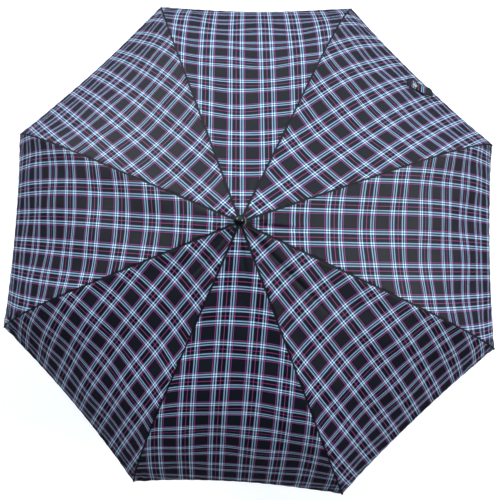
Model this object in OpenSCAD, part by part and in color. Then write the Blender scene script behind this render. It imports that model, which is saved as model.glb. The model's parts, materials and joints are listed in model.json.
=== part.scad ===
// Stick umbrella, drawn open. The origin is the middle of the grip on the shaft's axis and
// +Z runs up the shaft to the ferrule. The panels face +X, +Y, -X, -Y and between them.
// Each rib, its stretcher and the shaft make a fold with equal links, so the runner goes
// straight down the shaft as the ribs swing in.

/* [Canopy] */
// Length of a rib along its curve, from its pivot to its tip
rib_len = 570; // [540:5:600]
// Length of the straight inner part of a rib
rib_straight = 285; // [280:5:320]
// Slope of the straight part below level, in degrees
slope_in = 11; // [10:0.5:14]
// Slope of a rib at its tip, in degrees
slope_tip = 50; // [46:0.5:54]
// How far a panel's middle is drawn in between its ribs, as a share of the radius
panel_sag = 0.065; // [0.02:0.005:0.08]
// How far the hem curves in at the middle of a panel, as a share of the radius
hem_sag = 0.009; // [0.005:0.001:0.02]
// Thickness of the cloth solid
cloth_t = 0.4; // [0.3:0.1:0.8]

/* [Shaft] */
// Height of the notch pivots above the origin
notch_z = 675; // [660:5:700]
// Radius of the shaft tube
shaft_r = 5; // [5:0.5:6]
// Wall of the shaft tube
shaft_wall = 0.8; // [0.6:0.1:1]
// Radius of the circle of pivots in the notch and in the runner
pivot_r = 10; // [10:0.5:11]

/* [Ribs and stretchers] */
// Length along a rib from its pivot to the stretcher's joint
link_len = 275; // [265:1:278]
// Width of a rib or stretcher channel
channel_w = 3.2; // [3:0.1:3.4]
// Height of a rib or stretcher channel
channel_h = 2.6; // [2.4:0.1:2.8]
// Thickness of the channel's steel
channel_t = 0.45; // [0.4:0.05:0.5]

/* [Handle] */
// Radius of the grip
grip_r = 11; // [10:0.5:12]
// Height of the grip's top above the origin
grip_top = 70; // [60:1:75]
// Depth of the grip's straight part below the origin
grip_low = 45; // [40:1:60]
// Radius of the crook's centre line
crook_r = 34; // [32:1:38]

/* [Ferrule] */
// Radius of the ferrule cap
ferrule_r = 8.25; // [7.5:0.25:9]
// Height of the ferrule cap
ferrule_h = 19; // [16:1:24]

/* [Hidden] */

$fn = 48;
rib_count = 8;
sector = 360 / rib_count;
half = sector / 2;

// A rib's steel runs this far above the line through its notch pivot
rib_lift = 2.5;
// The stretcher's joint hangs this far below the rib's centre line
joint_drop = 5;
// The cloth's middle lies this far above the same line
cloth_lift = 5;
// Gap kept between bodies that touch on the real object
clear = 0.3;

arc_len = rib_len - rib_straight;
arc_turn = slope_tip - slope_in;
arc_r = arc_len / (arc_turn * PI / 180);

// The equal links: length, and angle from straight down when the umbrella is open
link = norm([link_len, joint_drop - rib_lift]);
link_angle = 90 - slope_in - atan((joint_drop - rib_lift) / link_len);
runner_z = notch_z - 2 * link * cos(link_angle);
joint_pos = [pivot_r + link * sin(link_angle), notch_z - link * cos(link_angle)];

// Slope of the rib at arc length s, in degrees below level
function slope(s) = s < rib_straight
    ? slope_in
    : slope_in + arc_turn * (s - rib_straight) / arc_len;

// Point [r, z] on the line through the notch pivot, at arc length s
function line_point(s) = s < rib_straight
    ? [pivot_r + s * cos(slope_in), notch_z - s * sin(slope_in)]
    : [pivot_r + rib_straight * cos(slope_in) + arc_r * (sin(slope(s)) - sin(slope_in)),
       notch_z - rib_straight * sin(slope_in) - arc_r * (cos(slope_in) - cos(slope(s)))];

// The same point moved out along the curve's normal
function lifted(s, up) = line_point(s) + up * [sin(slope(s)), cos(slope(s))];

// Share of the radius by which the cloth is drawn in at the middle of a panel
function drawn_in(s) =
    let (u = max(0, s) / rib_len)
    4 * panel_sag * u * (1 - u) + hem_sag * u;

// Cloth point at arc length s, in the frame of a panel that faces +X. q goes from 0 at
// the rib to 1 at the middle of the panel, and side is -1 or 1 for the panel's two halves.
function cloth_point(s, q, side, up) =
    let (p = lifted(s, cloth_lift + up), away = (1 - q) * sin(half) * p[0])
    [p[0] * (cos(half) - drawn_in(s) * (1 - (1 - q) * (1 - q))), side * away, p[1]];

cloth_from = -2.6;
cloth_to = rib_len - 9;
cloth_rows = 20;
cloth_cols = 4;
// The cloth solid stops short of its seams by this share of the half width
cloth_edge = 0.004;

// ---- shared shapes ----------------------------------------------------------------------

module ring(r_out, r_in, z0, z1) {
    translate([0, 0, z0])
        difference() {
            cylinder(h = z1 - z0, r = r_out);
            translate([0, 0, -1]) cylinder(h = z1 - z0 + 2, r = r_in);
        }
}

module torus(r_mid, r_wire) {
    rotate_extrude() translate([r_mid, 0]) circle(r = r_wire, $fn = 24);
}

// A round bar or bore across the rib plane, centred on [r, z]
module cross_bar(pos, r, len) {
    translate([pos[0], 0, pos[1]]) rotate([90, 0, 0]) cylinder(h = len, r = r, center = true);
}

// The channel's cross section: x across, y up, open below
module channel_section() {
    difference() {
        square([channel_w, channel_h], center = true);
        translate([0, -channel_t]) square([channel_w - 2 * channel_t, channel_h], center = true);
    }
}

// A bar of the given section lying along +X
module along_x(len) {
    rotate([90, 0, 90]) linear_extrude(len) children();
}

// ---- shaft and what is fixed to it --------------------------------------------------------

catch_w = 2.4;
catch_arm = 24;
catch_tail = 3;
catch_y = -2.2;
pin_r = 0.7;
shaft_low = grip_top - 55;
shaft_high = notch_z + 16;
runner_skirt = 32;
runner_head = 7;
sleeve_r = 8;
// Height of each catch's nose: one under the open runner, one in the closed runner's window
top_nose_z = runner_z - runner_skirt - clear;
fold_angle = 68;
closed_z = notch_z - 2 * link * cos(link_angle - fold_angle);
window_drop = 20;
window_h = 9;
window_w = 4;
bottom_nose_z = closed_z - window_drop + 3.5;

// Both catches hang on a pin catch_arm below the nose, and the nose stands out to -Y
module catch_slot(nose_z) {
    translate([-catch_w / 2 - 0.3, -shaft_r - 1, nose_z - catch_arm + 4])
        cube([catch_w + 0.6, shaft_r, catch_arm - 2]);
}

module pin_bar(nose_z, r, len) {
    translate([0, catch_y, nose_z - catch_arm])
        rotate([0, 90, 0]) cylinder(h = len, r = r, center = true, $fn = 32);
}

stop_z = runner_z + runner_head + 1.2;
stop_r = 0.9;

module stop_bar(r, len) {
    translate([0, 0, stop_z]) rotate([0, 90, 0]) cylinder(h = len, r = r, center = true, $fn = 32);
}

module shaft() {
    color("silver")
        difference() {
            ring(shaft_r, shaft_r - shaft_wall, shaft_low, shaft_high);
            catch_slot(top_nose_z);
            catch_slot(bottom_nose_z);
            pin_bar(top_nose_z, pin_r, 3 * shaft_r);
            pin_bar(bottom_nose_z, pin_r, 3 * shaft_r);
            stop_bar(stop_r, 3 * shaft_r);
        }
}

washer_z = notch_z + cloth_lift + 1.6;
washer_t = 1.2;

module cap_washer() {
    color("lightgray") ring(ferrule_r + 0.8, shaft_r + 0.04, washer_z, washer_z + washer_t);
}

// A cap with a round top, a straight side and a blind bore for the shaft
module ferrule() {
    z0 = washer_z + washer_t + 0.02;
    round_r = 6;
    color("black")
        difference() {
            translate([0, 0, z0])
                rotate_extrude()
                    union() {
                        square([ferrule_r, ferrule_h - round_r]);
                        square([ferrule_r - round_r, ferrule_h]);
                        translate([ferrule_r - round_r, ferrule_h - round_r])
                            intersection() {
                                circle(r = round_r);
                                square(round_r + 1);
                            }
                    }
            translate([0, 0, z0 - 1]) cylinder(h = shaft_high + 0.3 - z0 + 1, r = shaft_r + 0.04);
        }
}

notch_r = 12.5;
core_r = 7.4;
slot_w = channel_w + 0.4;
wire_r = 0.6;
rosette_z = notch_z + 4.32;

// Eight radial slots, open at the rim
module pivot_slots(z0, z1) {
    for (i = [0 : rib_count - 1])
        rotate([0, 0, half + i * sector])
            translate([core_r, -slot_w / 2, z0]) cube([notch_r, slot_w, z1 - z0]);
}

module notch() {
    color("black")
        difference() {
            union() {
                ring(notch_r, shaft_r + 0.04, notch_z - 6, notch_z + 3);
                ring(core_r, shaft_r + 0.04, notch_z - 6, rosette_z - 0.02);
            }
            pivot_slots(notch_z - 7, notch_z + 4);
            translate([0, 0, notch_z]) torus(pivot_r, wire_r + 0.03);
        }
}

module notch_wire() {
    color("gray") translate([0, 0, notch_z]) torus(pivot_r, wire_r);
}

// A disc of cloth between the ribs' ends and the canopy
module rosette() {
    color("dimgray") ring(pivot_r + 0.5, shaft_r + 0.3, rosette_z, rosette_z + 0.18);
}

module stop_pin() {
    color("gray") stop_bar(stop_r - 0.02, 2 * shaft_r + 2.4);
}

module catch_pins() {
    color("gray") {
        pin_bar(top_nose_z, pin_r - 0.02, 2 * shaft_r - 2);
        pin_bar(bottom_nose_z, pin_r - 0.02, 2 * shaft_r - 2);
    }
}

// Side view of a catch, in [y, z] from its pin: a straight arm with a nose at the top.
// The top catch's nose is flat above, the bottom catch's is flat below.
module catch_side(flat_above) {
    w = 0.8;
    reach = 3;
    out = -shaft_r - reach - catch_y;
    difference() {
        union() {
            circle(r = 1.5, $fn = 32);
            if (flat_above)
                polygon([[-w, -catch_tail], [w, -catch_tail], [w, catch_arm], [out, catch_arm],
                         [out, catch_arm - 1.5], [-w, catch_arm - 8]]);
            else
                polygon([[-w, -catch_tail], [w, -catch_tail], [w, catch_arm], [-w, catch_arm],
                         [out, catch_arm - 2.5], [out, catch_arm - 4], [-w, catch_arm - 4]]);
        }
        circle(r = pin_r + 0.06, $fn = 32);
    }
}

module catch(nose_z, flat_above) {
    color("silver")
        translate([-catch_w / 2, catch_y, nose_z - catch_arm])
            rotate([90, 0, 90]) linear_extrude(catch_w) catch_side(flat_above);
}

module top_catch() { catch(top_nose_z, true); }

module bottom_catch() { catch(bottom_nose_z, false); }

// A crook handle: a straight grip, half a turn and a short return with a round end
module handle() {
    back = 16;
    color("black")
        difference() {
            union() {
                translate([0, 0, -grip_low]) cylinder(h = grip_low + grip_top - 3, r = grip_r);
                translate([0, 0, grip_top - 3]) cylinder(h = 3, r1 = grip_r, r2 = grip_r - 2);
                translate([crook_r, 0, -grip_low])
                    rotate([90, 0, 0])
                        rotate_extrude(angle = -180, $fn = 96)
                            translate([crook_r, 0]) circle(r = grip_r, $fn = 48);
                translate([2 * crook_r, 0, -grip_low]) cylinder(h = back, r = grip_r);
                translate([2 * crook_r, 0, -grip_low + back]) sphere(r = grip_r);
            }
            translate([0, 0, shaft_low - 1])
                cylinder(h = grip_top - shaft_low + 5, r = shaft_r + 0.04);
        }
}

module handle_collar() {
    z0 = grip_top + 0.02;
    color("silver")
        difference() {
            union() {
                translate([0, 0, z0]) cylinder(h = 3, r = grip_r - 1.8);
                translate([0, 0, z0 + 3]) cylinder(h = 3, r1 = grip_r - 1.8, r2 = shaft_r + 1.6);
            }
            translate([0, 0, z0 - 1]) cylinder(h = 8, r = shaft_r + 0.04);
        }
}

// ---- runner -------------------------------------------------------------------------------

module runner() {
    color("black")
        difference() {
            union() {
                ring(notch_r, shaft_r + 0.08, runner_z - 5, runner_z + runner_head - 2);
                ring(sleeve_r, shaft_r + 0.08, runner_z - runner_skirt, runner_z + runner_head);
                ring(sleeve_r + 1.5, shaft_r + 0.08, runner_z - runner_skirt,
                     runner_z - runner_skirt + 4);
            }
            pivot_slots(runner_z - 6, runner_z + runner_head + 1);
            translate([0, 0, runner_z]) torus(pivot_r, wire_r + 0.03);
            translate([-window_w / 2, -sleeve_r - 2, runner_z - window_drop - window_h / 2])
                cube([window_w, sleeve_r, window_h]);
        }
}

module runner_wire() {
    color("gray") translate([0, 0, runner_z]) torus(pivot_r, wire_r);
}

// ---- ribs, tips and stretchers ------------------------------------------------------------

tab_t = 1.6;
rivet_r = 0.9;
eye_r = 0.8;

// One rib in the XZ plane: channel, root eye, joint tab and its rivet
module rib_shape() {
    root = 6;
    difference() {
        union() {
            translate([pivot_r, 0, notch_z])
                rotate([0, slope_in, 0])
                    translate([root - 2, 0, rib_lift])
                        along_x(rib_straight - root + 2) channel_section();
            rib_arc();
            rib_root(root);
            joint_tab();
            cross_bar(joint_pos, rivet_r, channel_w - 0.1);
        }
        cross_bar([pivot_r, notch_z], eye_r, 2 * channel_w);
    }
}

// The curved outer part, turned about the centre of its arc
module rib_arc() {
    bend = [pivot_r + rib_straight * cos(slope_in) - arc_r * sin(slope_in),
            notch_z - rib_straight * sin(slope_in) - arc_r * cos(slope_in)];
    translate([bend[0], 0, bend[1]])
        rotate([90, 0, 0])
            rotate([0, 0, 90 - slope_in])
                rotate_extrude(angle = -arc_turn, $fn = 720)
                    translate([arc_r + rib_lift, 0]) rotate(-90) channel_section();
}

// Solid root: a plate that drops from the channel to a round eye at the pivot
module rib_root(root) {
    w = channel_w - 0.4;
    translate([pivot_r, 0, notch_z])
        rotate([0, slope_in, 0]) {
            rotate([90, 0, 0]) cylinder(h = w, r = 1.9, center = true, $fn = 32);
            translate([-1.9, -w / 2, 0]) cube([root + 1.9, w, rib_lift + channel_h / 2]);
        }
}

// The stretcher's joint: a crimp round the channel and a tab that hangs from it
module joint_tab() {
    crimp_len = 18;
    crimp_w = channel_w + 0.5;
    crimp_h = channel_h + 0.4;
    translate([pivot_r, 0, notch_z])
        rotate([0, slope_in, 0])
            translate([link_len, 0, rib_lift - joint_drop]) {
                rotate([90, 0, 0]) cylinder(h = tab_t, r = 2, center = true, $fn = 32);
                translate([-2, -tab_t / 2, 0]) cube([4, tab_t, joint_drop]);
                translate([-5, -crimp_w / 2, joint_drop - crimp_h / 2])
                    cube([crimp_len, crimp_w, crimp_h]);
            }
}

// A tip: a sleeve over the rib's end and a ball
module tip_shape() {
    p = lifted(rib_len, rib_lift);
    grip = 8;
    difference() {
        translate([p[0], 0, p[1]])
            rotate([0, 90 + slope_tip, 0]) {
                translate([0, 0, -grip]) cylinder(h = grip + 2, r1 = 2.35, r2 = 1.9, $fn = 32);
                translate([0, 0, 3]) sphere(r = 2.6, $fn = 32);
            }
        translate([p[0], 0, p[1]])
            rotate([0, 90 + slope_tip, 0])
                translate([-channel_h / 2 - 0.35, -channel_w / 2 - 0.05, -grip - 2])
                    cube([channel_h + 0.7, channel_w + 0.1, grip + 2.05]);
    }
}

// A stretcher from the rib's joint to the runner: a channel with a fork and an eye
module stretcher_shape() {
    fork = 10;
    gap = tab_t + 0.5;
    w = channel_w;
    difference() {
        translate([joint_pos[0], 0, joint_pos[1]])
            rotate([0, 180 - (90 - link_angle), 0]) {
                difference() {
                    union() {
                        translate([0, -w / 2, -channel_h / 2]) cube([link, w, channel_h]);
                        rotate([90, 0, 0]) cylinder(h = w, r = 1.9, center = true, $fn = 32);
                        translate([link, 0, 0])
                            rotate([90, 0, 0]) cylinder(h = w, r = 1.9, center = true, $fn = 32);
                    }
                    translate([fork, -w / 2 + channel_t, -channel_h / 2 + channel_t])
                        cube([link - fork - 6, w - 2 * channel_t, channel_h]);
                    translate([-3, -gap / 2, -3]) cube([fork + 3.01, gap, 6]);
                }
            }
        cross_bar(joint_pos, rivet_r + 0.08, 2 * w);
        cross_bar([pivot_r, runner_z], eye_r, 2 * w);
    }
}

function rib_turn(i) = half + (i - 1) * sector;

module rib(i) { color("dimgray") rotate([0, 0, rib_turn(i)]) rib_shape(); }

module tip(i) { color("black") rotate([0, 0, rib_turn(i)]) tip_shape(); }

module stretcher(i) { color("dimgray") rotate([0, 0, rib_turn(i)]) stretcher_shape(); }

// ---- canopy -------------------------------------------------------------------------------

// Half a panel as a closed shell: the a half hangs on the rib before it, the b half on the
// rib after it
module half_panel(side) {
    up = cloth_t / 2;
    n = (cloth_rows + 1) * (cloth_cols + 1);
    span = 1 - 2 * cloth_edge;
    points = [
        for (face = [up, -up], i = [0 : cloth_rows], j = [0 : cloth_cols])
            let (s = cloth_from + (cloth_to - cloth_from) * i / cloth_rows,
                 q = cloth_edge + span * j / cloth_cols)
            cloth_point(s, q, side, face)
    ];
    function at(face, i, j) = face * n + i * (cloth_cols + 1) + j;
    quads = [
        for (i = [0 : cloth_rows - 1], j = [0 : cloth_cols - 1])
            [at(0, i, j), at(0, i + 1, j), at(0, i + 1, j + 1), at(0, i, j + 1)],
        for (i = [0 : cloth_rows - 1], j = [0 : cloth_cols - 1])
            [at(1, i, j), at(1, i, j + 1), at(1, i + 1, j + 1), at(1, i + 1, j)],
        for (i = [0 : cloth_rows - 1])
            [at(0, i, 0), at(1, i, 0), at(1, i + 1, 0), at(0, i + 1, 0)],
        for (i = [0 : cloth_rows - 1])
            [at(0, i + 1, cloth_cols), at(1, i + 1, cloth_cols), at(1, i, cloth_cols),
             at(0, i, cloth_cols)],
        for (j = [0 : cloth_cols - 1])
            [at(0, 0, j + 1), at(1, 0, j + 1), at(1, 0, j), at(0, 0, j)],
        for (j = [0 : cloth_cols - 1])
            [at(0, cloth_rows, j), at(1, cloth_rows, j), at(1, cloth_rows, j + 1),
             at(0, cloth_rows, j + 1)]
    ];
    triangles = [
        for (f = quads) each side < 0
            ? [[f[2], f[1], f[0]], [f[3], f[2], f[0]]]
            : [[f[0], f[1], f[2]], [f[0], f[2], f[3]]]
    ];
    polyhedron(points = points, faces = triangles);
}

module panel(i, side) {
    tint = i % 2 == 0 ? "slategray" : "mediumvioletred";
    color(tint) rotate([0, 0, i * sector]) half_panel(side);
}

// ---- tie strap ----------------------------------------------------------------------------

strap_len = 60;
strap_w = 19;
strap_t = 1.4;
strap_panel = 1;
// Where the strap is sewn on: arc length, offset to the side, and height above the cloth
strap_s = 497;
strap_side = -3;
strap_up = 4;
// The strap stands off the cloth: its turn from straight out, its dip and its tilt
strap_turn = -62;
strap_dip = 14;
strap_tilt = -20;
sewn_len = 5;
stud_x = 12.5;

// The frame of the strap: X runs from the sewn end to the round end, Z away from the cloth
module on_strap() {
    p = cloth_point(strap_s, 1, 1, 0);
    rotate([0, 0, strap_panel * sector])
        translate([p[0], strap_side, p[2] + strap_up])
            rotate([0, 0, strap_turn])
                rotate([0, strap_dip, 0])
                    rotate([strap_tilt, 0, 0])
                        children();
}

module tie_strap() {
    round_x = strap_len - sewn_len - strap_w / 2;
    color("darkslategray")
        on_strap()
            difference() {
                linear_extrude(strap_t)
                    union() {
                        translate([-sewn_len, -strap_w / 2])
                            square([round_x + sewn_len, strap_w]);
                        translate([round_x, 0]) circle(r = strap_w / 2);
                    }
                translate([stud_x, 0, -1]) cylinder(h = strap_t + 2, r = 2.06);
            }
}

module stud_cap() {
    color("silver")
        on_strap()
            translate([stud_x, 0, 0]) {
                cylinder(h = strap_t, r = 2);
                translate([0, 0, strap_t + 0.02]) cylinder(h = 0.8, r1 = 5, r2 = 4.4);
                translate([0, 0, strap_t - 0.1]) cylinder(h = 0.3, r = 2);
            }
}

module stud_socket() {
    color("silver")
        on_strap()
            translate([stud_x, 0, -0.85]) cylinder(h = 0.8, r = 4.6);
}

// ---- nodes --------------------------------------------------------------------------------

shaft();
ferrule();
cap_washer();
rosette();
notch();
notch_wire();
stop_pin();
catch_pins();
top_catch();
bottom_catch();
handle();
handle_collar();
runner();
runner_wire();
tie_strap();
stud_cap();
stud_socket();
for (i = [1 : rib_count]) {
    rib(i);
    tip(i);
    stretcher(i);
    panel(i, -1);
    panel(i, 1);
}
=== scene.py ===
import json
import math

import bpy
import numpy as np
from mathutils import Euler, Matrix, Vector


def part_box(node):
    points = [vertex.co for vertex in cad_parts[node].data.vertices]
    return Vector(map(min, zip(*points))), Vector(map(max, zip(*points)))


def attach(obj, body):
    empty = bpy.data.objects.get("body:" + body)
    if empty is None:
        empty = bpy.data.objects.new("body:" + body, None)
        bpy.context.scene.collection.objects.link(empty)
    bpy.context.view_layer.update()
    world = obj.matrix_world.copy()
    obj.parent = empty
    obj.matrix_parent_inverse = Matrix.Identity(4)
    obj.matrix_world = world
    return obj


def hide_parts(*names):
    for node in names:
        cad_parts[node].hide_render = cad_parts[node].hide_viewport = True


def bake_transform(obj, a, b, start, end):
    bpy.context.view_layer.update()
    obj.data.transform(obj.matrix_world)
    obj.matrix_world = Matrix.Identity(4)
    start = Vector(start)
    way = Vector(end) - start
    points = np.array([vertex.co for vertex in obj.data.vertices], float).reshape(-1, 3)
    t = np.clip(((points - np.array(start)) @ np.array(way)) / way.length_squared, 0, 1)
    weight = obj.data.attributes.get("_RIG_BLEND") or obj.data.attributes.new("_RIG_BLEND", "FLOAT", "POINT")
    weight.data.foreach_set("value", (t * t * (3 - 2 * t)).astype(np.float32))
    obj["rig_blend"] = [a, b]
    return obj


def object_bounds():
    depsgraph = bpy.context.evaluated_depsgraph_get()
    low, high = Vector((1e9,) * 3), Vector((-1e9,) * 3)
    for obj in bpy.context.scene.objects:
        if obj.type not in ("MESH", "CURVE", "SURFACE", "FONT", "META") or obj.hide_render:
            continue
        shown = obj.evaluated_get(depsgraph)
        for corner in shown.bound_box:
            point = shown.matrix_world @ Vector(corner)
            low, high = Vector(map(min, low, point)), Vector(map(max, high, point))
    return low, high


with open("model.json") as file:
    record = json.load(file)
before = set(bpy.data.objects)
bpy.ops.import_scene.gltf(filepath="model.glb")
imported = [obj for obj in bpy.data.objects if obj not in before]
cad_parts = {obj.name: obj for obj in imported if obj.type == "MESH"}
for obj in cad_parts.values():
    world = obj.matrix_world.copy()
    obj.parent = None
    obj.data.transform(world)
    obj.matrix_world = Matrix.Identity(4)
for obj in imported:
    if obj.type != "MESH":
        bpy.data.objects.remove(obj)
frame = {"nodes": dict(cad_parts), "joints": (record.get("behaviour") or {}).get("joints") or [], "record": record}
CAD_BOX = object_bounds()
NODES = frame["nodes"]
JOINTS = {joint["name"]: joint for joint in frame["joints"]}

# ---- the dome, in metres and radians ----------------------------------------------------
# The same rib curve as the CAD ribs: a straight inner part, then an arc.

RIBS = 8
SECTOR = math.tau / RIBS
HALF = SECTOR / 2
RIB_LEN = 0.570
RIB_STRAIGHT = 0.285
SLOPE_IN = math.radians(11)
SLOPE_TIP = math.radians(50)
PANEL_SAG = 0.065
HEM_SAG = 0.009
PIVOT = JOINTS["fold"]["pos_m"]
PIVOT_R = math.hypot(PIVOT[0], PIVOT[1])
NOTCH_Z = PIVOT[2]
FOLD = math.radians(JOINTS["fold"]["range_deg"][1])
ARC_R = (RIB_LEN - RIB_STRAIGHT) / (SLOPE_TIP - SLOPE_IN)
CLOTH_LIFT = 0.0050
CLOTH_T = 0.00035
CLOTH_FROM = -0.0044
CLOTH_TO = RIB_LEN - 0.009
# Rows and columns of the grid of a half panel
ROWS = 180
COLUMNS = 60


def rib_turn(number):
    """Azimuth of rib 1 to 8."""
    return HALF + (number - 1) * SECTOR


def rib_slope(s):
    """Slope below level at arc length s from the pivot."""
    bend = SLOPE_IN + (SLOPE_TIP - SLOPE_IN) * (s - RIB_STRAIGHT) / (RIB_LEN - RIB_STRAIGHT)
    return np.where(s < RIB_STRAIGHT, SLOPE_IN, bend)


def rib_point(s, lift):
    """(r, z) of the rib curve at arc length s, moved out along its normal by lift."""
    slope = rib_slope(s)
    end_r = PIVOT_R + RIB_STRAIGHT * math.cos(SLOPE_IN)
    end_z = NOTCH_Z - RIB_STRAIGHT * math.sin(SLOPE_IN)
    straight_r = PIVOT_R + s * math.cos(SLOPE_IN)
    straight_z = NOTCH_Z - s * math.sin(SLOPE_IN)
    bent_r = end_r + ARC_R * (np.sin(slope) - math.sin(SLOPE_IN))
    bent_z = end_z - ARC_R * (math.cos(SLOPE_IN) - np.cos(slope))
    inner = s < RIB_STRAIGHT
    r = np.where(inner, straight_r, bent_r) + lift * np.sin(slope)
    z = np.where(inner, straight_z, bent_z) + lift * np.cos(slope)
    return r, z


def dome(s, p, lift=CLOTH_LIFT):
    """Smooth cloth surface of a panel that faces +X. p runs from -1 at one rib to 1 at the
    other, and 0 is the middle of the panel. Returns points of shape (..., 3)."""
    r, z = rib_point(s, lift)
    u = np.maximum(s, 0) / RIB_LEN
    drawn = 4 * PANEL_SAG * u * (1 - u) + HEM_SAG * u
    x = r * (math.cos(HALF) - drawn * (1 - p * p))
    y = p * math.sin(HALF) * r
    return np.stack(np.broadcast_arrays(x, y, z), axis=-1)


# ---- folds, puckers and hems in the cloth -------------------------------------------------

# Width of the doubled cloth at the hem and at a seam, and what it adds to the thickness
HEM_W = 0.008
SEAM_W = 0.005
DOUBLED_T = 0.0004
# The corners of the cloth reach out to the tips: how far, how wide, and the tips' radius
CORNER_REACH, CORNER_W, TIP_R = 0.0045, 0.012, 0.53
# How far some hems are cut in at their middle
HEM_CUT = {1: 0.004, 2: 0.010, 3: 0.005, 5: 0.005, 6: 0.009}
# Ribs whose tips pull harder on the cloth, and panels that billow beside a seam
TIP_PULL = {5: 1.6, 6: 1.4, 8: 1.4}
BILLOW = {(4, 1): 0.0026, (5, -1): 0.0008, (3, 1): 0.0008, (7, -1): 0.0010}
# The groove where two panels are sewn, depth and width, and the puckers that its stitches
# draw up: height, length and how far they spread
SEAM_DIP, SEAM_DIP_W = 0.0009, 0.0030
PUCKER, PUCKER_LEN, PUCKER_SPREAD = 0.0003, 0.0125, 0.008
# The hem's fold stands up a little, and its edge waves: height, length and spread
HEM_RISE = 0.0004
HEM_WAVE, HEM_WAVE_LEN, HEM_WAVE_SPREAD = 0.00035, 0.023, 0.016
# Folds that run out from the crown: height and spread
CROWN_FOLD, CROWN_SPREAD = 0.0005, 0.07
# Two slow waves of the whole panel: height, length across and length along
SLOW_WAVES = ((0.0013, 0.17, 0.31), (0.0009, -0.12, 0.19))
# Creases near the crown: panel, place across at their outer end, reach and depth
CREASES = [(8, -0.012, 0.14, 0.0016), (7, 0.006, 0.26, 0.0014), (5, 0.010, 0.17, 0.0012),
           (4, -0.008, 0.16, 0.0009), (6, 0.016, 0.12, 0.0009)]


def soft_step(x, low, high):
    t = np.clip((x - low) / (high - low), 0, 1)
    return t * t * (3 - 2 * t)


def panel_waves(panel):
    """The few random numbers of one panel, the same at every run."""
    return np.random.default_rng(400 + panel).uniform(0, 1, 24)


def rib_beside(panel, side):
    return panel if side < 0 else panel % RIBS + 1


def hem_end(p, panel):
    """Arc length of the hem: the corners of the cloth reach out to the tips."""
    to_corner = (1 - np.abs(p)) * math.sin(HALF) * TIP_R
    corner = CORNER_REACH * np.exp(-to_corner / CORNER_W)
    return CLOTH_TO + corner - HEM_CUT.get(panel, 0.0) * (1 - p * p)


def corner_folds(to_tip, to_seam, pull, waves):
    """Folds that spread from a rib tip into the cloth."""
    reach = np.hypot(to_tip, to_seam)
    turn = np.arctan2(to_seam, np.maximum(to_tip, 1e-6))
    strength = (0.0006 + 0.0006 * waves[0]) * pull
    fade = soft_step(reach, 0.006, 0.03) * np.exp(-reach / (0.035 + 0.03 * waves[1]))
    ripple = np.sin(turn * (9 + 4 * waves[2]) + math.tau * waves[3])
    return strength * fade * soft_step(to_seam, 0.0, 0.008) * ripple


def billows(s, to_seam, height, wave):
    """Pockets in a row beside a seam, toward the tip."""
    row = np.sin(math.tau * (s / 0.036 + wave)) + 0.4 * np.sin(math.tau * (s / 0.021 + wave))
    fade = np.exp(-to_seam / 0.022) * soft_step(to_seam, 0.0, 0.006)
    return height * row * fade * soft_step(s, 0.36, 0.47) * soft_step(RIB_LEN - s, 0.0, 0.02)


def creases(s, across, panel):
    """Narrow grooves, each with a raised bank beside it."""
    height = 0.0 * s
    for where, place, reach, depth in CREASES:
        if where == panel:
            line = across - place * s / reach
            window = soft_step(s, 0.008, 0.03) * soft_step(reach - s, 0.0, 0.5 * reach)
            groove = np.exp(-((line / 0.0035) ** 2))
            bank = np.exp(-(((line - 0.008) / 0.006) ** 2))
            height = height + depth * window * (0.6 * bank - groove)
    return height


def seam_relief(s, side, to_seam, waves):
    """The groove at the seam and the puckers along it."""
    groove = -SEAM_DIP * np.exp(-((to_seam / SEAM_DIP_W) ** 2))
    beat = 0.5 + 0.5 * np.sin(s * 61 + side * 1.7 + math.tau * waves[0])
    pucker = PUCKER * beat * np.sin(math.tau * s / PUCKER_LEN + side * waves[1] * 5)
    pucker = pucker * np.exp(-to_seam / PUCKER_SPREAD) * soft_step(to_seam, 0.0, 0.0025)
    return groove + pucker


def hem_relief(across, to_seam, to_hem, waves):
    """The folded edge of the hem and its waves."""
    fold = HEM_RISE * soft_step(HEM_W - to_hem, -0.0010, 0.0006)
    wave = HEM_WAVE * np.sin(math.tau * across / HEM_WAVE_LEN + math.tau * waves[0])
    wave = wave * (0.4 + 0.6 * np.sin(across * 47 + math.tau * waves[1]) ** 2)
    return fold + wave * np.exp(-to_hem / HEM_WAVE_SPREAD) * soft_step(to_seam, 0.0, 0.02)


def crown_relief(s, p, waves):
    """Folds that run out from the crown and die away."""
    folds = CROWN_FOLD * np.sin(math.pi * (2.4 + 2 * waves[0]) * p + math.tau * waves[1])
    folds = folds * soft_step(s, 0.0, 0.012) * np.exp(-s / CROWN_SPREAD)
    return folds * soft_step(1 - np.abs(p), 0, 0.3)


def slow_relief(s, across, to_seam, to_hem, waves):
    """Slow waves over the open cloth, still at the seams, the crown and the hem."""
    total = 0.0 * s
    for (height, length_across, length_along), wave in zip(SLOW_WAVES, waves):
        phase = across / length_across + s / length_along + wave
        total = total + height * np.sin(math.tau * phase)
    still = soft_step(to_seam, 0.0, 0.06) * soft_step(s, 0.02, 0.15)
    return total * still * soft_step(to_hem, 0.0, 0.09)


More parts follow.
